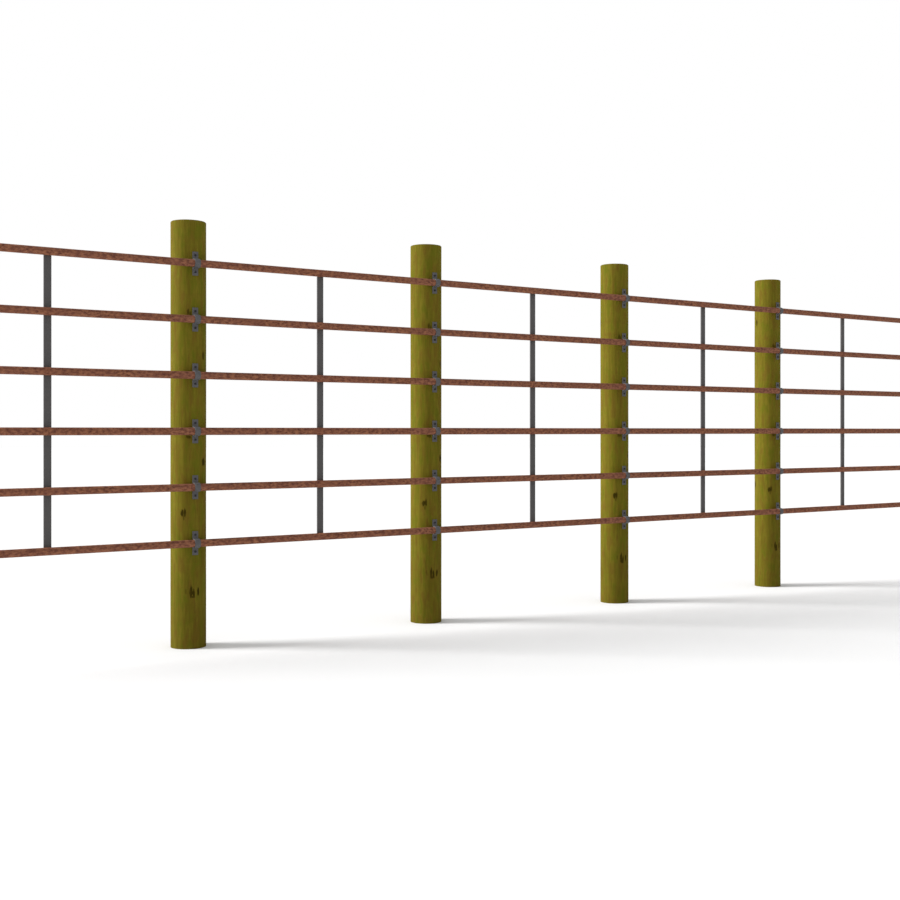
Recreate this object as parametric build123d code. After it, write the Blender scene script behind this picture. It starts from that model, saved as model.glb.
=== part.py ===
from build123d import *
import math
import os

# A continuous livestock fence panel: six tube rails with flat stays welded behind them, held by strap
# clips on the front of round timber posts. Millimetres, +X along the rails, -Y the rail side, +Z up.
# The origin is the bottom centre of the whole assembly's box.

# Panel of rails
BAYS = 5
BAY_LENGTH = 1219.2
RAIL_COUNT = 6
RAIL_SPACING = 238.125
BOTTOM_RAIL_HEIGHT = 450.85
RAIL_DIAMETER = 31.75
RAIL_WALL = 2.1

# Stays, and the weld beads that join them to the rails
STAY_WIDTH = 30.0
STAY_THICKNESS = 8.0
STAY_EDGE_RADIUS = 1.0
STAY_END_MARGIN = 2.0
WELD_ROOT = 4.0
WELD_TOE = 11.0
WELD_RISE = 9.0
WELD_INSET = 2.5

# Connectors that slide in the rails' right-hand ends, and the reamed sockets that take them
CONNECTOR_REACH = 73.0
CONNECTOR_WALL = 3.0
CONNECTOR_CLEARANCE = 0.25
CONNECTOR_LEAD_IN = 1.5
COLLAR_WIDTH = 4.0
COLLAR_GAP = 0.3
SOCKET_SPARE = 7.0
SOCKET_EASE = 0.2

# Posts, which stand a little to the right of the lines between bays
POST_DIAMETER = 152.4
POST_ABOVE_RAIL = 187.325
POST_TOP_EASE = 3.0
POST_SHIFT = 9.5

# Strap clips
CLIP_WIDTH = 25.4
CLIP_THICKNESS = 3.2
CLIP_BEND = 5.0
CLIP_EDGE_RADIUS = 0.8
CLIP_CLEARANCE = 0.3

# Clip screws: how far each stands from the clip's bend and from the end of its foot, and their sizes
SCREW_SET = 11.6
SCREW_MARGIN = 14.8
SCREW_DIAMETER = 5.5
SCREW_LENGTH = 63.0
SCREW_TIP = 9.0
SCREW_TIP_DIAMETER = 0.6
SCREW_HEAD_DIAMETER = 9.5
SCREW_HEAD_HEIGHT = 3.8
SCREW_HEAD_ROUND = 2.0
SCREW_DRIVE_WIDTH = 3.5
SCREW_DRIVE_DEPTH = 2.0
SCREW_HOLE_CLEARANCE = 0.4
PILOT_CLEARANCE = 0.1

# Sizes that follow from those above
POST_COUNT = BAYS - 1
PANEL_LENGTH = BAYS * BAY_LENGTH
RAIL_RADIUS = RAIL_DIAMETER / 2
BORE_RADIUS = RAIL_RADIUS - RAIL_WALL
SOCKET_RADIUS = BORE_RADIUS + SOCKET_EASE
SOCKET_DEPTH = CONNECTOR_REACH + SOCKET_SPARE
CONNECTOR_PROUD = COLLAR_GAP + COLLAR_WIDTH + CONNECTOR_REACH
POST_RADIUS = POST_DIAMETER / 2
SCREW_RADIUS = SCREW_DIAMETER / 2
ARCH_INNER = RAIL_RADIUS + CLIP_CLEARANCE
ARCH_OUTER = ARCH_INNER + CLIP_THICKNESS
CLIP_REACH = ARCH_INNER + ARCH_OUTER
SCREW_OFFSET = ARCH_OUTER + CLIP_BEND + SCREW_SET
CLIP_HEIGHT = 2 * (SCREW_OFFSET + SCREW_MARGIN)

# Where the pieces stand: the box is centred on the origin along X and Y
PANEL_X = -CONNECTOR_PROUD / 2
RAIL_END = PANEL_X + PANEL_LENGTH / 2
POST_Y = CLIP_REACH / 2
POST_FRONT = POST_Y - POST_RADIUS
RAIL_Y = POST_FRONT - ARCH_INNER
RAIL_BACK = RAIL_Y + RAIL_RADIUS
RAIL_HEIGHTS = [BOTTOM_RAIL_HEIGHT + i * RAIL_SPACING for i in reversed(range(RAIL_COUNT))]
SCREW_HEIGHTS = [height + side * SCREW_OFFSET for height in RAIL_HEIGHTS for side in (1, -1)]
POST_HEIGHT = RAIL_HEIGHTS[0] + POST_ABOVE_RAIL
STAY_XS = [PANEL_X + (i - (BAYS - 1) / 2) * BAY_LENGTH for i in range(BAYS)]
POST_XS = [PANEL_X + POST_SHIFT + (i - (POST_COUNT - 1) / 2) * BAY_LENGTH for i in range(POST_COUNT)]

# Turns for round pieces, which are made upright
ALONG_RAIL = Rot(0, 90, 0)
OUT_OF_POST = Rot(90, 0, 0)
STANDING = (Align.CENTER, Align.CENTER, Align.MIN)


def make_rail():
    """A tube rail, centred on its axis and reamed at both ends so that a connector enters freely."""
    tube = Cylinder(RAIL_RADIUS, PANEL_LENGTH) - Cylinder(BORE_RADIUS, PANEL_LENGTH)
    for side in (-1, 1):
        middle = side * (PANEL_LENGTH - SOCKET_DEPTH) / 2
        tube -= Pos(0, 0, middle) * Cylinder(SOCKET_RADIUS, SOCKET_DEPTH)
    return ALONG_RAIL * tube


def make_connector():
    """A slip connector, centred on its collar: half for this rail's end, half for the next panel's."""
    radius = SOCKET_RADIUS - CONNECTOR_CLEARANCE
    length = COLLAR_WIDTH + 2 * CONNECTOR_REACH
    tube = chamfer(Cylinder(radius, length).edges(), CONNECTOR_LEAD_IN)
    tube += Cylinder(RAIL_RADIUS, COLLAR_WIDTH)
    tube -= Cylinder(radius - CONNECTOR_WALL, length)
    return ALONG_RAIL * tube


def make_stay():
    """A flat upright bar, its front face at y = 0 and the middle of the panel at z = 0."""
    lap = WELD_TOE + STAY_END_MARGIN
    length = RAIL_HEIGHTS[0] - RAIL_HEIGHTS[-1] + 2 * lap
    bar = Box(STAY_WIDTH, STAY_THICKNESS, length)
    bar = fillet(bar.edges().filter_by(Axis.Z), STAY_EDGE_RADIUS)
    return Pos(0, STAY_THICKNESS / 2, 0) * bar


def make_weld(side):
    """A fillet weld between a stay's face (y = 0) and a rail in front of it, above (1) or below (-1) the rail."""
    depth = RAIL_RADIUS - math.sqrt(RAIL_RADIUS**2 - WELD_RISE**2)
    corners = [(0, WELD_ROOT), (0, WELD_TOE), (-depth, WELD_RISE), (-depth, WELD_ROOT)]
    section = make_face(Polyline(*[(y, side * z) for y, z in corners], close=True))
    section -= Pos(-RAIL_RADIUS, 0) * Circle(RAIL_RADIUS)
    return extrude(Plane.YZ * section, amount=STAY_WIDTH / 2 - WELD_INSET, both=True)


def make_post():
    """A round post standing on the origin, drilled for the two screws of each of its clips."""
    log = Cylinder(POST_RADIUS, POST_HEIGHT, align=STANDING)
    log = chamfer(log.edges().group_by(Axis.Z)[-1], POST_TOP_EASE)
    depth = SCREW_LENGTH - CLIP_THICKNESS + PILOT_CLEARANCE
    pilot = OUT_OF_POST * Cylinder(SCREW_RADIUS + PILOT_CLEARANCE, 2 * depth)
    return log - [Pos(0, -POST_RADIUS, height) * pilot for height in SCREW_HEIGHTS]


def clip_outline():
    """A strap clip seen from its end: up the post along X, out of the post along Y."""
    outside = Pos(0, ARCH_INNER) * Circle(ARCH_OUTER)
    outside += Pos(0, ARCH_INNER / 2) * Rectangle(2 * ARCH_OUTER, ARCH_INNER)
    outside += Pos(0, CLIP_THICKNESS / 2) * Rectangle(CLIP_HEIGHT, CLIP_THICKNESS)
    below = Pos(0, -ARCH_OUTER / 2) * Rectangle(2 * ARCH_OUTER, ARCH_OUTER)
    inside = Pos(0, ARCH_INNER) * Circle(ARCH_INNER)
    inside += Pos(0, ARCH_INNER / 2) * Rectangle(2 * ARCH_INNER, ARCH_INNER)
    outline = outside - below - inside
    low = outline.vertices().filter_by_position(Axis.Y, 0, CLIP_THICKNESS)
    outline = fillet([v for v in low if math.isclose(abs(v.X), ARCH_OUTER)], CLIP_BEND)
    low = outline.vertices().filter_by_position(Axis.Y, 0, CLIP_THICKNESS)
    return fillet([v for v in low if math.isclose(abs(v.X), ARCH_INNER)], CLIP_BEND + CLIP_THICKNESS)


def make_clip():
    """A strap clip on the face y = 0, arched over a rail at z = 0, with a screw hole in each foot."""
    end_on = Plane(origin=(0, 0, 0), x_dir=(0, 0, 1), z_dir=(1, 0, 0))
    strap = extrude(end_on * clip_outline(), amount=CLIP_WIDTH / 2, both=True)
    strap = fillet(strap.faces().filter_by(Axis.X).edges(), CLIP_EDGE_RADIUS)
    hole = OUT_OF_POST * Cylinder(SCREW_RADIUS + SCREW_HOLE_CLEARANCE, 4 * CLIP_THICKNESS)
    return strap - [Pos(0, 0, side * SCREW_OFFSET) * hole for side in (1, -1)]


def make_screw():
    """A wood screw pointing into the post, the underside of its round head at y = 0."""
    head = Cylinder(SCREW_HEAD_DIAMETER / 2, SCREW_HEAD_HEIGHT, align=STANDING)
    head = fillet(head.edges().group_by(Axis.Z)[-1], SCREW_HEAD_ROUND)
    drive = extrude(RegularPolygon(SCREW_DRIVE_WIDTH / 2, 6, major_radius=False), SCREW_DRIVE_DEPTH)
    head -= Pos(0, 0, SCREW_HEAD_HEIGHT - SCREW_DRIVE_DEPTH) * drive
    shank_length = SCREW_LENGTH - SCREW_TIP
    shank = Pos(0, 0, -shank_length) * Cylinder(SCREW_RADIUS, shank_length, align=STANDING)
    tip = Pos(0, 0, -SCREW_LENGTH) * Cone(SCREW_TIP_DIAMETER / 2, SCREW_RADIUS, SCREW_TIP, align=STANDING)
    return OUT_OF_POST * (head + shank + tip)


def build():
    """Every node of the fence by name, numbered from the top rail down and from the left."""
    nodes = {}
    rail, connector = make_rail(), make_connector()
    collar_x = RAIL_END + COLLAR_GAP + COLLAR_WIDTH / 2
    for i, height in enumerate(RAIL_HEIGHTS, 1):
        nodes[f"rail_{i}"] = Pos(PANEL_X, RAIL_Y, height) * rail
        nodes[f"connector_{i}"] = Pos(collar_x, RAIL_Y, height) * connector

    stay, welds = make_stay(), [make_weld(1), make_weld(-1)]
    middle = (RAIL_HEIGHTS[0] + RAIL_HEIGHTS[-1]) / 2
    for i, x in enumerate(STAY_XS, 1):
        nodes[f"stay_{i}"] = Pos(x, RAIL_BACK, middle) * stay
        beads = [Pos(x, RAIL_BACK, height) * weld for height in RAIL_HEIGHTS for weld in welds]
        nodes[f"welds_stay_{i}"] = Compound(children=beads)

    post, clip, screw = make_post(), make_clip(), make_screw()
    for i, x in enumerate(POST_XS, 1):
        nodes[f"post_{i}"] = Pos(x, POST_Y, 0) * post
        for j, height in enumerate(RAIL_HEIGHTS, 1):
            nodes[f"clip_post_{i}_rail_{j}"] = Pos(x, POST_FRONT, height) * clip
        heads = [Pos(x, POST_FRONT - CLIP_THICKNESS, height) * screw for height in SCREW_HEIGHTS]
        nodes[f"screws_post_{i}"] = Compound(children=heads)
    return nodes


os.makedirs("parts", exist_ok=True)
for name, shape in build().items():
    export_step(shape, f"parts/{name}.step")
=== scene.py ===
"""Dresses the continuous fence panel: posts, rails, stays, welds, clips, screws and connectors."""

import logging
import math
from dataclasses import dataclass, replace
from enum import Enum

import bmesh
import bpy
from mathutils import Matrix, Vector, noise

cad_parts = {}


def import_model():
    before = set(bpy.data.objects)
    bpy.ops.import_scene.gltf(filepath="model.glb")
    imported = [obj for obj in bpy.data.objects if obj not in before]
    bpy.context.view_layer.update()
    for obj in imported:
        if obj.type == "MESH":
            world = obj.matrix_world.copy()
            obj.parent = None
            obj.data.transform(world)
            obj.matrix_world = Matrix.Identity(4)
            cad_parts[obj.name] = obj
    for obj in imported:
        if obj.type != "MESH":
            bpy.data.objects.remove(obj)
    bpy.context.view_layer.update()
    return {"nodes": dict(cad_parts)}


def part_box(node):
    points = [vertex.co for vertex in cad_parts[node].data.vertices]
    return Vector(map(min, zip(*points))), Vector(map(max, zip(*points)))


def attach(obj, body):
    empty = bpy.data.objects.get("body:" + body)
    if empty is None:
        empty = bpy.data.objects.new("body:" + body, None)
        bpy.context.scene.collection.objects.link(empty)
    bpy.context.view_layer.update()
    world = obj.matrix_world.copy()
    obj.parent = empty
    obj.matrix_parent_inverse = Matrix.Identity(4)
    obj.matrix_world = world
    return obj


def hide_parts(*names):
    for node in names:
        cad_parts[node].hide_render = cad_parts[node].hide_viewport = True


LOG = logging.getLogger("fence")
POST_COUNT = 4
RAIL_COUNT = 6
STAY_COUNT = 5
SMOOTH_ANGLE = math.radians(35)
MERGE_DISTANCE = 1e-6
ORIGIN = (0.0, 0.0, 0.0)

Colour = tuple[float, float, float]
Triple = tuple[float, float, float]
Span = tuple[float, float]


class Body(Enum):
    """The rigid bodies that the new pieces ride on."""

    POSTS = "posts"
    PANEL = "panel"


class Slot(Enum):
    """Material slot names for the new pieces, which this script does not use."""

    RAIL = "rail_steel"
    WELD = "weld_metal"
    TIMBER = "treated_timber"


class Mixing(Enum):
    """How one colour is laid over another."""

    COVER = "MIX"
    STAIN = "MULTIPLY"


# Shader building


@dataclass(frozen=True)
class Shine:
    """How metallic a surface is, and how strongly it reflects where it is not."""

    metallic: float = 0.0
    gloss: float = 0.1


@dataclass(frozen=True)
class NoiseLayer:
    """A layer of noise: features in a metre along each axis, octaves, their weight and a shift."""

    scale: Triple
    octaves: float
    weight: float = 0.55
    shift: Triple = ORIGIN


class NodeSketch:
    """Adds nodes to one node tree and links them."""

    def __init__(self, tree: bpy.types.NodeTree) -> None:
        """Starts on an empty tree.

        Args:
            tree: the material's or group's node tree.
        """
        self.tree = tree
        self.tree.nodes.clear()

    def add(self, kind: str, **settings: object) -> bpy.types.Node:
        """Adds a node and sets its properties.

        Args:
            kind: the node's type name, without the leading ShaderNode.
            settings: attributes of the node.

        Returns:
            The new node.
        """
        prefix = "" if kind.startswith("Node") else "ShaderNode"
        node = self.tree.nodes.new(prefix + kind)
        for name, value in settings.items():
            setattr(node, name, value)
        return node

    def feed(self, target: bpy.types.NodeSocket, value: object) -> None:
        """Links a socket to an input, or sets the input's own value.

        Args:
            target: the input socket.
            value: an output socket, a number or a tuple; None leaves the input as it is.
        """
        if isinstance(value, bpy.types.NodeSocket):
            self.tree.links.new(value, target)
        elif value is not None:
            target.default_value = value

    def object_point(self) -> bpy.types.NodeSocket:
        """The point on the surface in the fence's own frame, in metres."""
        return self.add("TexCoord").outputs["Object"]

    def mapped(self, point: object, scale: Triple, shift: Triple = ORIGIN) -> bpy.types.NodeSocket:
        """Stretches and then moves a point.

        Args:
            point: the point's socket.
            scale: factor along each axis.
            shift: added to the stretched point.

        Returns:
            The mapped point.
        """
        node = self.add("Mapping")
        self.feed(node.inputs["Vector"], point)
        node.inputs["Location"].default_value = shift
        node.inputs["Scale"].default_value = scale
        return node.outputs["Vector"]

    def height_of(self, point: object) -> bpy.types.NodeSocket:
        """A point's height above the ground.

        Args:
            point: the point's socket.

        Returns:
            The height.
        """
        parts = self.add("SeparateXYZ")
        self.feed(parts.inputs[0], point)
        return parts.outputs["Z"]

    def noise(self, point: object, layer: NoiseLayer) -> bpy.types.NodeSocket:
        """Fractal noise from 0 to 1.

        Args:
            point: where to sample.
            layer: the noise's scale and detail.

        Returns:
            The noise value.
        """
        node = self.add("TexNoise")
        self.feed(node.inputs["Vector"], self.mapped(point, layer.scale, layer.shift))
        node.inputs["Scale"].default_value = 1.0
        node.inputs["Detail"].default_value = layer.octaves
        node.inputs["Roughness"].default_value = layer.weight
        return node.outputs["Fac"]

    def math(self, operation: str, first: object, second: object = None) -> bpy.types.NodeSocket:
        """One step of arithmetic on values.

        Args:
            operation: the Math node's operation.
            first: the first value or socket.
            second: the second value or socket.

        Returns:
            The result.
        """
        node = self.add("Math", operation=operation)
        self.feed(node.inputs[0], first)
        self.feed(node.inputs[1], second)
        return node.outputs[0]

    def times(self, first: object, second: object) -> bpy.types.NodeSocket:
        """The product of two values."""
        return self.math("MULTIPLY", first, second)

    def plus(self, first: object, second: object) -> bpy.types.NodeSocket:
        """The sum of two values."""
        return self.math("ADD", first, second)

    def minus(self, first: object, second: object) -> bpy.types.NodeSocket:
        """The first value less the second."""
        return self.math("SUBTRACT", first, second)

    def vector_math(self, operation: str, first: object, second: object = None) -> bpy.types.Node:
        """One step of arithmetic on vectors.

        Args:
            operation: the Vector Math node's operation.
            first: the first vector or socket.
            second: the second vector or socket.

        Returns:
            The node, whose outputs are Vector and Value.
        """
        node = self.add("VectorMath", operation=operation)
        self.feed(node.inputs[0], first)
        self.feed(node.inputs[1], second)
        return node

    def span(self, value: object, given: Span, wanted: Span = (0.0, 1.0)) -> bpy.types.NodeSocket:
        """Maps a value smoothly from one span to another, and holds it at the ends.

        Args:
            value: the value or socket.
            given: the values that give the ends of the wanted span.
            wanted: the results at those ends.

        Returns:
            The mapped value.
        """
        node = self.add("MapRange", interpolation_type="SMOOTHSTEP")
        self.feed(node.inputs["Value"], value)
        for name, number in zip(("From Min", "From Max", "To Min", "To Max"), given + wanted):
            node.inputs[name].default_value = number
        return node.outputs["Result"]

    def blend(
        self, factor: object, under: object, over: object, mixing: Mixing = Mixing.COVER
    ) -> bpy.types.NodeSocket:
        """Lays one colour over another.

        Args:
            factor: how much of the upper colour.
            under: the lower colour or socket.
            over: the upper colour or socket.
            mixing: how they mix.

        Returns:
            The mixed colour.
        """
        node = self.add("Mix", data_type="RGBA", blend_type=mixing.value, clamp_factor=True)
        colours = [socket for socket in node.inputs if socket.type == "RGBA"]
        self.feed(node.inputs[0], factor)
        for target, value in zip(colours, (under, over)):
            self.feed(target, (*value, 1.0) if isinstance(value, tuple) else value)
        return next(socket for socket in node.outputs if socket.type == "RGBA")

    def surface(
        self, colour: object, roughness: object, shine: Shine, height: object, depth: float
    ) -> None:
        """Ends a material: one Principled shader with a bump.

        Args:
            colour: base colour socket.
            roughness: roughness socket or number.
            shine: how metallic and how glossy the whole surface is.
            height: bump height socket, from 0 to 1.
            depth: bump height in metres.
        """
        shader = self.add("BsdfPrincipled")
        self.feed(shader.inputs["Base Color"], colour)
        self.feed(shader.inputs["Roughness"], roughness)
        shader.inputs["Metallic"].default_value = shine.metallic
        shader.inputs["Specular IOR Level"].default_value = shine.gloss
        bump = self.add("Bump")
        bump.inputs["Distance"].default_value = depth
        self.feed(bump.inputs["Height"], height)
        self.feed(shader.inputs["Normal"], bump.outputs["Normal"])
        output = self.add("OutputMaterial")
        self.feed(output.inputs["Surface"], shader.outputs["BSDF"])


def new_material(name: str) -> tuple[bpy.types.Material, NodeSketch]:
    """Makes an empty node material.

    Args:
        name: the material's name.

    Returns:
        The material and the sketch of its tree.
    """
    material = bpy.data.materials.new(name)
    material.use_nodes = True
    return material, NodeSketch(material.node_tree)


class EffectGroup:
    """A shader node group that several materials share."""

    def __init__(self, name: str, inputs: dict[str, str], outputs: tuple[str, ...]) -> None:
        """Makes the empty group with its sockets.

        Args:
            name: the group's name.
            inputs: socket name to socket type.
            outputs: names of the values that it gives.
        """
        self.tree = bpy.data.node_groups.new(name, "ShaderNodeTree")
        sockets = self.tree.interface
        for socket, kind in inputs.items():
            sockets.new_socket(socket, in_out="INPUT", socket_type="NodeSocket" + kind)
        for socket in outputs:
            sockets.new_socket(socket, in_out="OUTPUT", socket_type="NodeSocketFloat")
        self.sketch = NodeSketch(self.tree)
        self.given = self.sketch.add("NodeGroupInput").outputs
        self.result = self.sketch.add("NodeGroupOutput").inputs

    def give(self, name: str, value: bpy.types.NodeSocket) -> None:
        """Puts a value out of the group."""
        self.sketch.feed(self.result[name], value)

    def place(self, sketch: NodeSketch, **values: object) -> bpy.types.NodeOutputs:
        """Puts the group into a material.

        Args:
            sketch: the material's sketch.
            values: input name to a socket or value.

        Returns:
            The placed group's outputs.
        """
        node = sketch.add("Group", node_tree=self.tree)
        for name, value in values.items():
            sketch.feed(node.inputs[name], value)
        return node.outputs


class Effects:
    """The effects that the finishes share, each built once."""

    blotch_layer: NoiseLayer = NoiseLayer((1.0, 1.0, 1.0), 3.0, 0.6)
    blotch_span: Span = (0.32, 0.68)
    speck_layer: NoiseLayer = NoiseLayer((5.0, 5.0, 5.0), 2.0, 0.5)
    speck_span: Span = (0.38, 0.66)
    grain_layers: dict[str, NoiseLayer] = {
        "Fibre": NoiseLayer((420.0, 420.0, 9.0), 3.0),
        "Streak": NoiseLayer((70.0, 70.0, 7.0), 4.0, 0.6),
        "Patch": NoiseLayer((44.0, 44.0, 13.0), 3.0, shift=(4.0, 2.0, 1.0)),
        "Band": NoiseLayer((4.0, 4.0, 32.0), 2.0),
    }
    grain_span: Span = (0.3, 0.7)
    knot_ragged: float = 1.8
    knot_core: Span = (1.62, 2.0)
    knot_ring: Span = (0.8, 2.6)
    crack_layer: NoiseLayer = NoiseLayer((110.0, 110.0, 110.0), 3.0)
    crack_wander: float = 0.006
    crack_width: float = 0.0014
    crack_opening: Span = (0.0, 0.07)
    crack_start: Span = (0.0, 0.004)
    crack_least: float = 0.0001

    def __init__(self) -> None:
        """Builds every effect."""
        self.mottle = self.make_mottle()
        self.grain = self.make_grain()
        self.knot = self.make_knot()
        self.check = self.make_check()

    def make_mottle(self) -> EffectGroup:
        """Blotches and fine specks of weathered metal.

        Returns:
            A group that gives Blotch and Speck from 0 to 1, with blotches of a Size in metres.
        """
        inputs = {"Point": "Vector", "Size": "Float"}
        group = EffectGroup("metal_mottle", inputs, ("Blotch", "Speck"))
        sketch = group.sketch
        size = sketch.add("CombineXYZ")
        for axis in size.inputs:
            sketch.feed(axis, group.given["Size"])
        scaled = sketch.vector_math("DIVIDE", group.given["Point"], size.outputs[0])
        point = scaled.outputs["Vector"]
        group.give("Blotch", sketch.span(sketch.noise(point, self.blotch_layer), self.blotch_span))
        group.give("Speck", sketch.span(sketch.noise(point, self.speck_layer), self.speck_span))
        return group

    def make_grain(self) -> EffectGroup:
        """Long fibres of a round timber post, whose axis is Z, and the patches of colour on it.

        Returns:
            A group that gives Fibre, Streak, Patch and Band from 0 to 1.
        """
        group = EffectGroup("timber_grain", {"Point": "Vector"}, tuple(self.grain_layers))
        for name, layer in self.grain_layers.items():
            value = group.sketch.noise(group.given["Point"], layer)
            group.give(name, group.sketch.span(value, self.grain_span))
        return group

    def make_knot(self) -> EffectGroup:
        """One dark stroke of a knot in a timber post: an upright oval with a ragged edge.

        Returns:
            A group that gives Core and Ring from 0 to 1, from the stroke's Centre and its half
            sizes, Reach, in metres.
        """
        inputs = {"Point": "Vector", "Centre": "Vector", "Reach": "Vector", "Ragged": "Float"}
        group = EffectGroup("timber_knot", inputs, ("Core", "Ring"))
        sketch = group.sketch
        offset = sketch.vector_math("SUBTRACT", group.given["Point"], group.given["Centre"])
        scaled = sketch.vector_math("DIVIDE", offset.outputs["Vector"], group.given["Reach"])
        distance = sketch.vector_math("LENGTH", scaled.outputs["Vector"]).outputs["Value"]
        edge = sketch.plus(distance, sketch.times(group.given["Ragged"], self.knot_ragged))
        group.give("Core", sketch.span(edge, self.knot_core, (1.0, 0.0)))
        group.give("Ring", sketch.span(distance, self.knot_ring, (1.0, 0.0)))
        return group

    def make_check(self) -> EffectGroup:
        """One drying crack in the end of a post, from near the pith out to the side.

        Returns:
            A group that gives Crack from 0 to 1, for a crack along Heading, a level unit vector,
            that begins at a distance Start from the post's axis.
        """
        inputs = {"Point": "Vector", "Heading": "Vector", "Start": "Float"}
        group = EffectGroup("end_check", inputs, ("Crack",))
        sketch, point, heading = group.sketch, group.given["Point"], group.given["Heading"]
        along = sketch.vector_math("DOT_PRODUCT", point, heading).outputs["Value"]
        across = sketch.vector_math("CROSS_PRODUCT", point, heading).outputs["Vector"]
        side = sketch.vector_math("LENGTH", across).outputs["Value"]
        wander = sketch.times(sketch.noise(point, self.crack_layer), self.crack_wander)
        off_line = sketch.minus(sketch.plus(side, self.crack_wander / 2), wander)
        away = sketch.math("ABSOLUTE", off_line)
        beyond = sketch.minus(along, group.given["Start"])
        width = sketch.times(sketch.span(beyond, self.crack_opening), self.crack_width)
        share = sketch.math("DIVIDE", away, sketch.math("MAXIMUM", width, self.crack_least))
        crack = sketch.math("MAXIMUM", sketch.minus(1.0, share), 0.0)
        group.give("Crack", sketch.times(crack, sketch.span(beyond, self.crack_start)))
        return group


# Finishes


@dataclass(frozen=True)
class Knot:
    """A dark stroke on a post: height, bearing rightwards from the front, half sizes and tone."""

    height: float
    bearing: float
    width: float
    reach: float
    tone: float = 0.95

    def centre(self, radius: float) -> Triple:
        """The stroke's middle about the post's axis, on a surface of that radius."""
        angle = math.radians(self.bearing)
        return (radius * math.sin(angle), -radius * math.cos(angle), self.height)


@dataclass(frozen=True)
class TreatedTimber:
    """Pressure-treated softwood, olive green, with knots: the sides of one post."""

    axis: tuple[float, float]
    radius: float
    knots: tuple[Knot, ...]
    pale: Colour = (0.160, 0.133, 0.0125)
    deep: Colour = (0.124, 0.101, 0.0090)
    green: Colour = (0.114, 0.114, 0.0075)
    brown: Colour = (0.138, 0.086, 0.0115)
    core: Colour = (0.0245, 0.0170, 0.0005)
    # Painted shade: the next three values darken the wood towards the ground, against the floor's
    # bounce light
    foot_shade: Colour = (0.66, 0.62, 0.60)
    foot_shade_height: float = 0.75
    foot_shade_wander: float = 0.12
    foot_shade_share: float = 0.60
    green_patch: Span = (0.55, 1.0)
    green_share: float = 0.85
    brown_patch: Span = (0.4, 0.0)
    brown_share: float = 0.60
    band_patch: Span = (0.45, 1.0)
    band_share: float = 0.18
    fibre_patch: Span = (0.4, 0.0)
    fibre_share: float = 0.22
    ring_share: float = 0.35
    ragged: NoiseLayer = NoiseLayer((360.0, 360.0, 45.0), 3.0, 0.6)
    core_break: Span = (0.78, 1.0)
    core_fibres: Span = (0.0, 0.8)
    roughness: Span = (0.88, 0.74)
    grain_height: float = 0.3
    ring_height: float = 0.4
    shine: Shine = Shine(0.0, 0.03)
    bump_depth: float = 0.0006

    def build(self, name: str, effects: Effects) -> bpy.types.Material:
        """Makes the material.

        Args:
            name: the material's name.
            effects: the shared effects.

        Returns:
            The material, centred on the post's axis.
        """
        material, sketch = new_material(name)
        fence_point = sketch.object_point()
        point = sketch.mapped(fence_point, (1.0, 1.0, 1.0), (-self.axis[0], -self.axis[1], 0.0))
        wood = effects.grain.place(sketch, Point=fence_point)
        colour = self.stain(sketch, wood, sketch.height_of(point))
        cores, rings = self.strokes(sketch, effects.knot, fence_point, point)
        colour = sketch.blend(sketch.times(rings, self.ring_share), colour, self.brown)
        broken = sketch.times(cores, sketch.span(wood["Fibre"], self.core_fibres, self.core_break))
        colour = sketch.blend(broken, colour, self.core)
        grain = sketch.times(sketch.plus(wood["Fibre"], wood["Streak"]), self.grain_height)
        height = sketch.plus(grain, sketch.times(rings, self.ring_height))
        rough = sketch.span(wood["Streak"], (0.0, 1.0), self.roughness)
        sketch.surface(colour, rough, self.shine, height, self.bump_depth)
        return material

    def stain(
        self, sketch: NodeSketch, wood: bpy.types.NodeOutputs, above_ground: object
    ) -> bpy.types.NodeSocket:
        """The colour of the wood between its knots: streaks, green and brown patches, and painted
        shade that darkens the foot.

        Args:
            sketch: the material's sketch.
            wood: the placed grain effect.
            above_ground: height of the point.

        Returns:
            The colour.
        """
        colour = sketch.blend(wood["Streak"], self.deep, self.pale)
        for value, patch, share, tint in (
            ("Patch", self.green_patch, self.green_share, self.green),
            ("Patch", self.brown_patch, self.brown_share, self.brown),
            ("Band", self.band_patch, self.band_share, self.brown),
        ):
            colour = sketch.blend(sketch.span(wood[value], patch, (0.0, share)), colour, tint)
        lines = sketch.span(wood["Fibre"], self.fibre_patch, (0.0, self.fibre_share))
        colour = sketch.blend(lines, colour, self.deep, Mixing.STAIN)
        # Painted shade: the wood is multiplied darker towards the foot, against the light bounced
        # from the floor
        edge = sketch.plus(above_ground, sketch.times(wood["Patch"], self.foot_shade_wander))
        foot_shade_mask = sketch.span(edge, (0.0, self.foot_shade_height), (self.foot_shade_share, 0.0))
        return sketch.blend(foot_shade_mask, colour, self.foot_shade, Mixing.STAIN)

    def strokes(
        self, sketch: NodeSketch, knot: EffectGroup, fence_point: object, point: object
    ) -> tuple[object, object]:
        """All the knots' dark cores, and the rings about them.

        Args:
            sketch: the material's sketch.
            knot: the shared knot effect.
            fence_point: the point in the fence's frame.
            point: the same point about the post's axis.

        Returns:
            The masks of the cores and of the rings.
        """
        ragged = sketch.noise(fence_point, self.ragged)
        cores, rings = 0.0, 0.0
        for one in self.knots:
            reach = (one.width, one.width, one.reach)
            centre = one.centre(self.radius)
            out = knot.place(sketch, Point=point, Centre=centre, Reach=reach, Ragged=ragged)
            cores = sketch.math("MAXIMUM", cores, sketch.times(out["Core"], one.tone))
            rings = sketch.math("MAXIMUM", rings, sketch.times(out["Ring"], one.tone))
        return cores, rings


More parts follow.
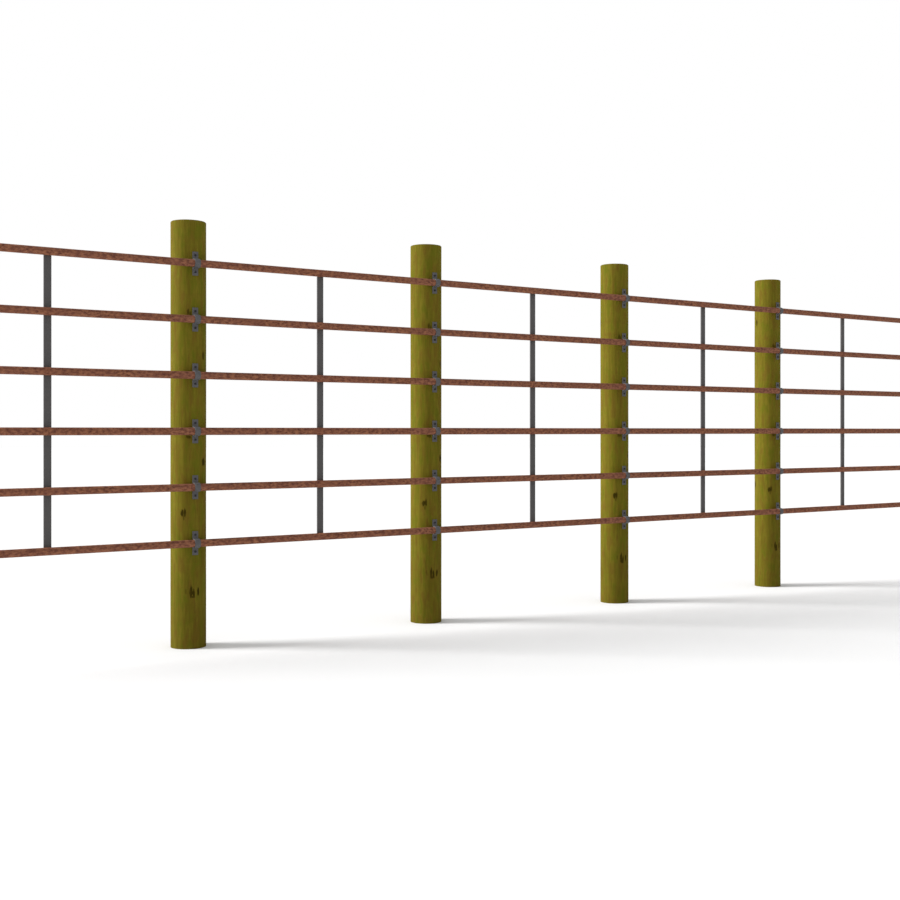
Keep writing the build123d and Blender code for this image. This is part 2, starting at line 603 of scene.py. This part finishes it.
@dataclass(frozen=True)
class EndGrain:
    """The sawn end of a post: growth rings about the pith, and fine drying cracks."""

    axis: tuple[float, float]
    early: Colour = (0.235, 0.185, 0.060)
    late: Colour = (0.120, 0.085, 0.020)
    crack: Colour = (0.030, 0.020, 0.008)
    crack_bearings: tuple[float, ...] = (20.0, 97.0, 163.0, 251.0, 318.0)
    crack_starts: tuple[float, ...] = (0.004, 0.030, 0.012, 0.022, 0.036)
    ring_width: float = 0.0042
    ring_layer: NoiseLayer = NoiseLayer((24.0, 24.0, 24.0), 2.0)
    ring_wander: float = 0.012
    ring_rise: Span = (0.35, 0.9)
    ring_fall: Span = (0.92, 1.0)
    ring_height: float = 0.3
    fibre_share: float = 0.3
    tone_layer: NoiseLayer = NoiseLayer((45.0, 45.0, 45.0), 3.0)
    tone_span: Span = (0.4, 0.75)
    tone_share: float = 0.5
    rough_span: Span = (0.3, 0.7)
    roughness: Span = (0.80, 0.92)
    shine: Shine = Shine(0.0, 0.08)
    bump_depth: float = 0.0006

    def build(self, name: str, effects: Effects, turn: float) -> bpy.types.Material:
        """Makes the material.

        Args:
            name: the material's name.
            effects: the shared effects.
            turn: how far the cracks are turned about the post, in degrees.

        Returns:
            The material, centred on the post's axis.
        """
        material, sketch = new_material(name)
        fence_point = sketch.object_point()
        point = sketch.mapped(fence_point, (1.0, 1.0, 0.0), (-self.axis[0], -self.axis[1], 0.0))
        ring = self.growth_rings(sketch, point)
        cracks = self.drying_cracks(sketch, effects.check, point, turn)
        fibre = effects.grain.place(sketch, Point=fence_point)["Fibre"]
        tone = sketch.noise(point, self.tone_layer)
        colour = sketch.blend(ring, self.early, self.late)
        colour = sketch.blend(sketch.times(fibre, self.fibre_share), colour, self.late)
        darker = sketch.span(tone, self.tone_span, (0.0, self.tone_share))
        colour = sketch.blend(darker, colour, self.late)
        colour = sketch.blend(cracks, colour, self.crack)
        height = sketch.minus(sketch.times(ring, self.ring_height), cracks)
        rough = sketch.span(tone, self.rough_span, self.roughness)
        sketch.surface(colour, rough, self.shine, height, self.bump_depth)
        return material

    def growth_rings(self, sketch: NodeSketch, point: object) -> bpy.types.NodeSocket:
        """Late wood of the growth rings, which darkens slowly outwards and stops short.

        Args:
            sketch: the material's sketch.
            point: the point about the pith.

        Returns:
            The rings' mask.
        """
        wander = sketch.times(sketch.noise(point, self.ring_layer), self.ring_wander)
        distance = sketch.plus(sketch.vector_math("LENGTH", point).outputs["Value"], wander)
        phase = sketch.math("FRACT", sketch.math("DIVIDE", distance, self.ring_width))
        rising = sketch.span(phase, self.ring_rise)
        return sketch.times(rising, sketch.span(phase, self.ring_fall, (1.0, 0.0)))

    def drying_cracks(
        self, sketch: NodeSketch, check: EffectGroup, point: object, turn: float
    ) -> object:
        """All the cracks of the end.

        Args:
            sketch: the material's sketch.
            check: the shared crack effect.
            point: the point about the pith.
            turn: how far the cracks are turned about the post, in degrees.

        Returns:
            The cracks' mask.
        """
        cracks = 0.0
        for bearing, begin in zip(self.crack_bearings, self.crack_starts):
            angle = math.radians(bearing + turn)
            heading = (math.cos(angle), math.sin(angle), 0.0)
            out = check.place(sketch, Point=point, Heading=heading, Start=begin)
            cracks = sketch.math("MAXIMUM", cracks, out["Crack"])
        return cracks


@dataclass(frozen=True)
class HeatTint:
    """The brown bloom that welding leaves on a bar, near each of a row of level rails."""

    lowest: float
    spacing: float
    reach: float = 0.030
    core: float = 0.015
    ragged: float = 0.012
    colour: Colour = (0.075, 0.054, 0.044)
    share: float = 0.6

    def over(
        self, sketch: NodeSketch, point: object, base: object, edge: object
    ) -> bpy.types.NodeSocket:
        """Lays the bloom over a colour.

        Args:
            sketch: the material's sketch.
            point: the point on the surface.
            base: the colour under it.
            edge: a value from 0 to 1 that breaks its edge.

        Returns:
            The tinted colour.
        """
        rise = sketch.minus(sketch.height_of(point), self.lowest)
        rails_up = sketch.math("DIVIDE", rise, self.spacing)
        from_rail = sketch.minus(rails_up, sketch.math("ROUND", rails_up))
        distance = sketch.times(sketch.math("ABSOLUTE", from_rail), self.spacing)
        distance = sketch.plus(distance, sketch.times(edge, self.ragged))
        bloom = sketch.span(distance, (self.core, self.reach), (self.share, 0.0))
        return sketch.blend(bloom, base, self.colour)


@dataclass(frozen=True)
class WeatheredSteel:
    """Steel whose colour wanders between a main and a second tone, with specks of a third."""

    main: Colour
    second: Colour
    speck: Colour
    speck_share: float
    blotch_size: float
    shine: Shine
    roughness: Span
    bump_depth: float
    grit: float = 4.0
    grit_share: float = 0.3
    grit_shift: Triple = (3.1, 1.7, 0.4)
    pit_height: float = 0.6
    speck_height: float = 0.4
    stretch: float = 1.0
    drift: Colour | None = None
    drift_size: float = 0.09
    drift_share: float = 0.35
    heat: HeatTint | None = None

    def build(self, name: str, effects: Effects) -> bpy.types.Material:
        """Makes the material.

        Args:
            name: the material's name.
            effects: the shared effects.

        Returns:
            The material.
        """
        material, sketch = new_material(name)
        point = sketch.object_point()
        along = 1.0 / self.stretch
        laid = sketch.mapped(point, (along, 1.0, 1.0))
        aside = sketch.mapped(point, (along, 1.0, 1.0), self.grit_shift)
        wide = effects.mottle.place(sketch, Point=laid, Size=self.blotch_size)
        fine = effects.mottle.place(sketch, Point=aside, Size=self.blotch_size / self.grit)
        colour = sketch.blend(wide["Blotch"], self.main, self.second)
        colour = sketch.blend(sketch.times(wide["Speck"], self.speck_share), colour, self.speck)
        colour = sketch.blend(sketch.times(fine["Blotch"], self.grit_share), colour, self.main)
        if self.drift:
            slow = effects.mottle.place(sketch, Point=aside, Size=self.drift_size)
            share = sketch.times(slow["Blotch"], self.drift_share)
            colour = sketch.blend(share, colour, self.drift)
        if self.heat:
            colour = self.heat.over(sketch, point, colour, fine["Blotch"])
        rough = sketch.span(wide["Blotch"], (0.0, 1.0), self.roughness)
        pits = sketch.times(fine["Blotch"], self.pit_height)
        height = sketch.plus(pits, sketch.times(fine["Speck"], self.speck_height))
        sketch.surface(colour, rough, self.shine, height, self.bump_depth)
        return material


RUSTY_RAIL = WeatheredSteel(
    main=(0.068, 0.020, 0.010),
    second=(0.352, 0.154, 0.075),
    speck=(0.335, 0.132, 0.101),
    speck_share=0.45,
    drift=(0.196, 0.074, 0.052),
    blotch_size=0.010,
    shine=Shine(0.0, 0.10),
    roughness=(0.76, 0.92),
    bump_depth=0.00025,
    grit=5.0,
    stretch=1.8,
)
STAY_SCALE = WeatheredSteel(
    main=(0.075, 0.073, 0.073),
    second=(0.090, 0.088, 0.088),
    speck=(0.105, 0.090, 0.081),
    speck_share=0.25,
    blotch_size=0.045,
    shine=Shine(0.1, 0.2),
    roughness=(0.55, 0.72),
    bump_depth=0.0002,
)
CLIP_STEEL = WeatheredSteel(
    main=(0.078, 0.076, 0.080),
    second=(0.106, 0.105, 0.107),
    speck=(0.128, 0.124, 0.128),
    speck_share=0.30,
    blotch_size=0.012,
    shine=Shine(0.15, 0.2),
    roughness=(0.50, 0.66),
    bump_depth=0.0002,
)
SCREW_BLACK = WeatheredSteel(
    main=(0.016, 0.015, 0.018),
    second=(0.026, 0.025, 0.030),
    speck=(0.050, 0.046, 0.046),
    speck_share=0.30,
    blotch_size=0.004,
    shine=Shine(0.3, 0.3),
    roughness=(0.38, 0.55),
    bump_depth=0.0001,
)
WELD_METAL = WeatheredSteel(
    main=(0.125, 0.110, 0.100),
    second=(0.180, 0.145, 0.122),
    speck=(0.240, 0.200, 0.172),
    speck_share=0.40,
    blotch_size=0.006,
    shine=Shine(0.45, 0.4),
    roughness=(0.40, 0.62),
    bump_depth=0.0001,
)
BARE_TUBE = WeatheredSteel(
    main=(0.270, 0.270, 0.276),
    second=(0.350, 0.350, 0.356),
    speck=(0.250, 0.200, 0.160),
    speck_share=0.30,
    blotch_size=0.018,
    shine=Shine(0.9, 0.5),
    roughness=(0.32, 0.48),
    bump_depth=0.0001,
)


# Mesh building


def finish_mesh(
    name: str, shape: bmesh.types.BMesh, materials: list[bpy.types.Material]
) -> bpy.types.Object:
    """Closes a shape, smooths its gentle edges and makes an object of it.

    Args:
        name: the object's name.
        shape: the shape in the fence's frame, which is freed.
        materials: the object's material slots.

    Returns:
        The object, at the origin.
    """
    bmesh.ops.remove_doubles(shape, verts=shape.verts, dist=MERGE_DISTANCE)
    bmesh.ops.recalc_face_normals(shape, faces=shape.faces)
    for face in shape.faces:
        face.smooth = True
    for edge in shape.edges:
        edge.smooth = edge.is_manifold and edge.calc_face_angle(0.0) < SMOOTH_ANGLE
    mesh = bpy.data.meshes.new(name)
    shape.to_mesh(mesh)
    shape.free()
    for material in materials:
        mesh.materials.append(material)
    piece = bpy.data.objects.new(name, mesh)
    bpy.context.scene.collection.objects.link(piece)
    LOG.info("%s: %d faces", name, len(mesh.polygons))
    return piece


def turned(outline: list[tuple[float, float]], closed: bool, steps: int) -> bmesh.types.BMesh:
    """Turns an outline of (along, radius) points about the Z axis.

    Args:
        outline: the points, in order.
        closed: whether the last point joins the first.
        steps: segments round the axis.

    Returns:
        The turned shape, upright on the origin.
    """
    shape = bmesh.new()
    points = [shape.verts.new((radius, 0.0, along)) for along, radius in outline]
    ends = points[1:] + points[:1] if closed else points[1:]
    edges = [shape.edges.new(pair) for pair in zip(points, ends)]
    bmesh.ops.spin(
        shape,
        geom=points + edges,
        cent=ORIGIN,
        axis=(0.0, 0.0, 1.0),
        angle=math.tau,
        steps=steps,
        use_merge=True,
    )
    bmesh.ops.remove_doubles(shape, verts=shape.verts, dist=MERGE_DISTANCE)
    return shape


def stand_for(piece: bpy.types.Object, node: str, body: Body) -> None:
    """Puts a new piece in the place of a solid.

    Args:
        piece: the new piece.
        node: the solid that it replaces.
        body: what it rides on.
    """
    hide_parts(node)
    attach(piece, body.value)


def dress(solid: bpy.types.Object, finish: bpy.types.Material) -> None:
    """Gives a finish to a solid that keeps its own shape.

    Args:
        solid: the solid's object.
        finish: its material.
    """
    slots = solid.data.materials
    slots.clear()
    slots.append(finish)
    LOG.info("%s: %s", solid.name, finish.name)


def middle_of(node: str) -> Vector:
    """The middle of a solid's box."""
    low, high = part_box(node)
    return (low + high) / 2


# Sub-assemblies


@dataclass
class Post:
    """One round timber post, a little uneven as a peeled log is."""

    number: int
    knots: tuple[Knot, ...]
    top_ease: float = 0.003
    uneven: float = 0.0012
    uneven_waves: Triple = (1.3, 1.3, 2.4)
    flute: float = 0.0004
    flute_waves: Triple = (13.0, 13.0, 1.8)
    seed_step: float = 7.3
    still_share: float = 0.5
    end_facing: float = 0.9
    around: int = 96
    rings: int = 150
    cap_rings: int = 6
    crack_turn: float = 47.0

    def build(self, effects: Effects) -> bpy.types.Object:
        """Models the post in place of its solid.

        Args:
            effects: the effects that its timber shares.

        Returns:
            The post.
        """
        node = f"post_{self.number}"
        low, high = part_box(node)
        centre = (low + high) / 2
        radius, height = (high.x - low.x) / 2, high.z - low.z
        shape = turned(self.outline(radius, height), closed=False, steps=self.around)
        self.weather(shape, radius)
        bmesh.ops.translate(shape, verts=shape.verts, vec=(centre.x, centre.y, low.z))
        for face in shape.faces:
            face.material_index = 1 if abs(face.normal.z) > self.end_facing else 0
        axis = (centre.x, centre.y)
        timber, turn = TreatedTimber(axis, radius, self.knots), self.crack_turn * self.number
        wood = timber.build(f"treated_timber_{self.number}", effects)
        end = EndGrain(axis).build(f"end_grain_{self.number}", effects, turn)
        piece = finish_mesh(f"timber_post_{self.number}", shape, [wood, end])
        stand_for(piece, node, Body.POSTS)
        return piece

    def outline(self, radius: float, height: float) -> list[tuple[float, float]]:
        """Half the post's lengthwise section, with an eased edge at its top.

        Args:
            radius: the post's radius.
            height: its height.

        Returns:
            Points of (height, radius), from the middle of the foot to the middle of the top.
        """
        rim, side = radius - self.top_ease, height - self.top_ease
        foot = [(0.0, radius * i / self.cap_rings) for i in range(self.cap_rings)]
        bark = [(side * i / self.rings, radius) for i in range(self.rings + 1)]
        top = [(height, rim * i / self.cap_rings) for i in reversed(range(self.cap_rings + 1))]
        return foot + bark + top

    def weather(self, shape: bmesh.types.BMesh, radius: float) -> None:
        """Draws the side in by a little, unevenly, and leaves the middle of each end still.

        Args:
            shape: the turned post, upright on the origin.
            radius: the post's full radius.
        """
        seed = Vector((0.0, 0.0, self.seed_step * self.number))
        for vert in shape.verts:
            out = Vector((vert.co.x, vert.co.y, 0.0)) / radius
            if out.length < self.still_share:
                continue
            place = Vector((out.x, out.y, vert.co.z))
            bulge = noise.noise(place * Vector(self.uneven_waves) + seed)
            groove = noise.noise(place * Vector(self.flute_waves) + seed)
            vert.co -= out * (self.uneven * (1.0 + bulge) + self.flute * (1.0 + groove)) / 2


@dataclass
class Rail:
    """One round tube rail with a reamed socket in each end."""

    number: int
    wall: float = 0.0021
    socket_ease: float = 0.0002
    socket_depth: float = 0.080
    edge: float = 0.0003
    around: int = 56

    def build(self, finish: bpy.types.Material) -> bpy.types.Object:
        """Models the rail in place of its solid.

        Args:
            finish: the rail's material.

        Returns:
            The rail.
        """
        node = f"rail_{self.number}"
        low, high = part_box(node)
        centre = (low + high) / 2
        wall = self.outline((high.z - low.z) / 2, high.x - low.x)
        shape = turned(wall, closed=True, steps=self.around)
        lying = Matrix.Rotation(math.pi / 2, 3, "Y")
        bmesh.ops.rotate(shape, verts=shape.verts, cent=ORIGIN, matrix=lying)
        bmesh.ops.translate(shape, verts=shape.verts, vec=(low.x, centre.y, centre.z))
        piece = finish_mesh(f"tube_rail_{self.number}", shape, [finish])
        stand_for(piece, node, Body.PANEL)
        return piece

    def outline(self, radius: float, length: float) -> list[tuple[float, float]]:
        """Section of the tube's wall, with eased ends and a socket at each.

        Args:
            radius: the tube's outer radius.
            length: the rail's length.

        Returns:
            Points of (along, radius), round the wall.
        """
        bore = radius - self.wall
        socket = bore + self.socket_ease
        outside = [(0.0, radius - self.edge), (self.edge, radius)]
        inside = [(0.0, socket), (self.socket_depth, socket), (self.socket_depth, bore)]
        far_outside = [(length - along, out) for along, out in reversed(outside)]
        far_inside = [(length - along, out) for along, out in inside]
        return outside + far_outside + far_inside + list(reversed(inside))


@dataclass
class Stay:
    """One upright flat bar and the rippled weld beads above and below each rail that it meets."""

    number: int
    bead_length: float = 0.025
    throat: float = 0.00262
    standoff: float = 0.0015
    drop: float = 0.0086
    blunt_share: float = 0.12
    bluntness: float = 0.35
    ripples: int = 9
    ripple_depth: float = 0.17
    steps_per_ripple: int = 4
    around: int = 12

    def dress_bar(self, solids: dict[str, bpy.types.Object], finish: bpy.types.Material) -> None:
        """Dresses the bar, whose solid has its real shape."""
        dress(solids[f"stay_{self.number}"], finish)

    def build_welds(self, finish: bpy.types.Material) -> bpy.types.Object:
        """Models the beads in place of their solids.

        Args:
            finish: the weld metal.

        Returns:
            All the beads of the stay, as one piece.
        """
        node = f"welds_stay_{self.number}"
        low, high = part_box(node)
        shape = bmesh.new()
        for rail in range(1, RAIL_COUNT + 1):
            for side in (-1, 1):
                height = middle_of(f"rail_{rail}").z + side * self.drop
                self.bead(shape, Vector((low.x, high.y - self.standoff, height)))
        piece = finish_mesh(f"weld_beads_{self.number}", shape, [finish])
        stand_for(piece, node, Body.PANEL)
        return piece

    def bead(self, shape: bmesh.types.BMesh, place: Vector) -> None:
        """Adds one bead, extruded along X ring by ring with its ripples.

        Args:
            shape: the shape to add to.
            place: where the bead's left end is.
        """
        size = self.ring_size(0.0)
        across = Matrix.Translation(place) @ Matrix.Rotation(math.pi / 2, 4, "Y")
        ring = bmesh.ops.create_circle(
            shape, cap_ends=True, segments=self.around, radius=size, matrix=across
        )
        ends = [ring["verts"][0].link_faces[0]]
        steps = self.ripples * self.steps_per_ripple
        for i in range(1, steps + 1):
            wanted = self.ring_size(i / steps)
            ends.append(self.extend(shape, ends[-1], self.bead_length / steps, wanted / size))
            size = wanted
        bmesh.ops.delete(shape, geom=ends[1:-1], context="FACES_ONLY")

    def ring_size(self, share: float) -> float:
        """Radius of the bead at a share of its length, from its blunt ends and its ripples.

        Args:
            share: 0 at the left end and 1 at the right end.

        Returns:
            The radius in metres.
        """
        along = self.blunt_share + (1.0 - 2 * self.blunt_share) * share
        dome = math.sin(math.pi * along) ** self.bluntness
        ripple = 1.0 + self.ripple_depth * abs(math.sin(math.pi * self.ripples * share))
        return self.throat * dome * ripple

    def extend(
        self, shape: bmesh.types.BMesh, end: bmesh.types.BMFace, step: float, scale: float
    ) -> bmesh.types.BMFace:
        """Extrudes the end face of a bead along X and scales it.

        Args:
            shape: the shape that holds the bead.
            end: the end face.
            step: how far to go.
            scale: the new ring's size over the old one's.

        Returns:
            The new end face.
        """
        grown = bmesh.ops.extrude_face_region(shape, geom=[end])["geom"]
        new_end = next(part for part in grown if isinstance(part, bmesh.types.BMFace))
        bmesh.ops.translate(shape, verts=new_end.verts, vec=(step, 0.0, 0.0))
        about = Matrix.Translation(-new_end.calc_center_median())
        bmesh.ops.scale(shape, verts=new_end.verts, vec=(1.0, scale, scale), space=about)
        return new_end


@dataclass
class PostFixings:
    """The strap clips on one post and their screws, whose solids have their real shapes."""

    post: int

    def dress_clips(self, solids: dict[str, bpy.types.Object], finish: bpy.types.Material) -> None:
        """Dresses the clip at every rail."""
        for rail in range(1, RAIL_COUNT + 1):
            dress(solids[f"clip_post_{self.post}_rail_{rail}"], finish)

    def dress_screws(self, solids: dict[str, bpy.types.Object], finish: bpy.types.Material) -> None:
        """Dresses all the screws of the post's clips."""
        dress(solids[f"screws_post_{self.post}"], finish)


@dataclass
class Connector:
    """The slip connector in the right-hand end of one rail, whose solid has its real shape."""

    rail: int

    def dress_tube(self, solids: dict[str, bpy.types.Object], finish: bpy.types.Material) -> None:
        """Dresses the connector."""
        dress(solids[f"connector_{self.rail}"], finish)


# Stage


@dataclass
class Studio:
    """Floor, light, white surround and the camera of the photograph."""

    photo_width: int = 900
    focal_pixels: float = 1209.5
    horizon_rise: float = 19.5
    turn: float = 33.94
    left_of_post: float = 1.9769
    out_from_post: float = 4.9587
    eye: float = 0.9306
    sensor: float = 36.0
    floor_reach: float = 60.0
    floor_sides: int = 64
    floor_colour: Colour = (0.81, 0.81, 0.81)
    floor_roughness: float = 0.9
    floor_gloss: float = 0.1
    ambient: float = 0.64
    sun_strength: float = 4.9
    sun_softness: float = 24.0
    sun_bearing: float = 85.0
    sun_height: float = 26.0

    def build(self) -> None:
        """Makes the whole stage."""
        self.make_floor()
        self.make_surround()
        self.make_sun()
        self.make_camera()

    def make_floor(self) -> None:
        """A large plain pale floor."""
        shape = bmesh.new()
        bmesh.ops.create_circle(
            shape, cap_ends=True, segments=self.floor_sides, radius=self.floor_reach
        )
        material, sketch = new_material("pale_floor")
        shader = sketch.add("BsdfPrincipled")
        shader.inputs["Base Color"].default_value = (*self.floor_colour, 1.0)
        shader.inputs["Roughness"].default_value = self.floor_roughness
        shader.inputs["Specular IOR Level"].default_value = self.floor_gloss
        sketch.feed(sketch.add("OutputMaterial").inputs["Surface"], shader.outputs["BSDF"])
        finish_mesh("studio_floor", shape, [material])

    def make_surround(self) -> None:
        """A white surround to the eye and to gloss, and a plain soft light to everything else."""
        world = bpy.data.worlds.new("white_surround")
        world.use_nodes = True
        bpy.context.scene.world = world
        sketch = NodeSketch(world.node_tree)
        path = sketch.add("LightPath").outputs
        seen = sketch.math("MAXIMUM", path["Is Camera Ray"], path["Is Glossy Ray"])
        seen = sketch.math("MAXIMUM", seen, path["Is Transmission Ray"])
        background = sketch.add("Background")
        background.inputs["Color"].default_value = (1.0, 1.0, 1.0, 1.0)
        strength = sketch.span(seen, (0.0, 1.0), (self.ambient, 1.0))
        sketch.feed(background.inputs["Strength"], strength)
        sketch.feed(sketch.add("OutputWorld").inputs["Surface"], background.outputs["Background"])

    def make_sun(self) -> None:
        """A broad soft key light from the camera's left, a little behind the fence."""
        lamp = bpy.data.lights.new("key_light", "SUN")
        lamp.energy = self.sun_strength
        lamp.angle = math.radians(self.sun_softness)
        key = bpy.data.objects.new("key_light", lamp)
        bpy.context.scene.collection.objects.link(key)
        bearing = math.radians(-self.turn - self.sun_bearing)
        rise = math.radians(self.sun_height)
        level = Vector((math.sin(bearing), -math.cos(bearing), 0.0))
        source = level * math.cos(rise) + Vector((0.0, 0.0, math.sin(rise)))
        key.rotation_euler = (-source).to_track_quat("-Z", "Y").to_euler()

    def make_camera(self) -> None:
        """The photograph's level camera, placed from the first post."""
        centre = middle_of("post_1")
        lens = bpy.data.cameras.new("photo_camera")
        lens.sensor_fit = "HORIZONTAL"
        lens.sensor_width = self.sensor
        lens.lens = self.focal_pixels / self.photo_width * self.sensor
        lens.shift_y = -self.horizon_rise / self.photo_width
        lens.clip_end = 2 * self.floor_reach
        camera = bpy.data.objects.new("photo_camera", lens)
        bpy.context.scene.collection.objects.link(camera)
        camera.location = (centre.x - self.left_of_post, centre.y - self.out_from_post, self.eye)
        camera.rotation_euler = (math.pi / 2, 0.0, -math.radians(self.turn))
        bpy.context.scene.camera = camera


# Knots that the photograph shows alike on every post, and others behind
FRONT_KNOTS = (
    Knot(0.245, -13.5, 0.0062, 0.029),
    Knot(0.237, -4.5, 0.0060, 0.020),
    Knot(0.243, 11.0, 0.0058, 0.020),
    Knot(0.222, -8.0, 0.0110, 0.006, 0.8),
    Knot(0.247, -30.0, 0.0045, 0.013, 0.35),
    Knot(0.579, -41.5, 0.0085, 0.016),
    Knot(0.581, -33.5, 0.0056, 0.021),
    Knot(0.559, -37.0, 0.0045, 0.010, 0.55),
    Knot(0.796, 34.5, 0.0120, 0.018),
    Knot(1.253, 33.5, 0.0075, 0.018, 0.8),
    Knot(1.436, -22.5, 0.0060, 0.013, 0.65),
    Knot(1.430, -16.5, 0.0040, 0.009, 0.55),
    Knot(0.906, -25.0, 0.0060, 0.010, 0.65),
    Knot(0.903, -19.0, 0.0060, 0.007, 0.70),
)
BACK_KNOTS = (
    Knot(1.010, 140.0, 0.0090, 0.024),
    Knot(1.390, 205.0, 0.0070, 0.020),
    Knot(0.420, 190.0, 0.0080, 0.022),
    Knot(0.690, 95.0, 0.0060, 0.018),
)
BACK_RISE = 0.062
BACK_TURN = 17.0


def post_knots(number: int) -> tuple[Knot, ...]:
    """The knots of one post, with those behind at other places on each.

    Args:
        number: the post, from 1.

    Returns:
        All its strokes.
    """
    rise, turn = BACK_RISE * (number - 1), BACK_TURN * (number - 1)
    behind = (
        replace(knot, height=knot.height + rise, bearing=knot.bearing + turn) for knot in BACK_KNOTS
    )
    return FRONT_KNOTS + tuple(behind)


def stay_heat() -> HeatTint:
    """The bloom on a stay about its welds, from where the rails are."""
    lowest, next_up = middle_of(f"rail_{RAIL_COUNT}").z, middle_of(f"rail_{RAIL_COUNT - 1}").z
    return HeatTint(lowest, next_up - lowest)


def main() -> None:
    """Builds the fence, piece by piece, and its stage."""
    logging.basicConfig(level=logging.INFO, format="%(name)s %(message)s")
    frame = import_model()
    bpy.context.scene.view_settings.view_transform = "Standard"
    solids = frame["nodes"]
    effects = Effects()

    for number in range(1, POST_COUNT + 1):
        Post(number, post_knots(number)).build(effects)

    rust = RUSTY_RAIL.build("rusty_rail", effects)
    tube = BARE_TUBE.build("bare_tube", effects)
    for number in range(1, RAIL_COUNT + 1):
        Rail(number).build(rust)
        Connector(number).dress_tube(solids, tube)

    scale = replace(STAY_SCALE, heat=stay_heat()).build("stay_scale", effects)
    weld = WELD_METAL.build("weld_metal", effects)
    for number in range(1, STAY_COUNT + 1):
        stay = Stay(number)
        stay.dress_bar(solids, scale)
        stay.build_welds(weld)

    strap = CLIP_STEEL.build("clip_steel", effects)
    black = SCREW_BLACK.build("screw_black", effects)
    for number in range(1, POST_COUNT + 1):
        fixings = PostFixings(number)
        fixings.dress_clips(solids, strap)
        fixings.dress_screws(solids, black)

    Studio().build()
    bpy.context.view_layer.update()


if __name__ == "__main__":
    main()
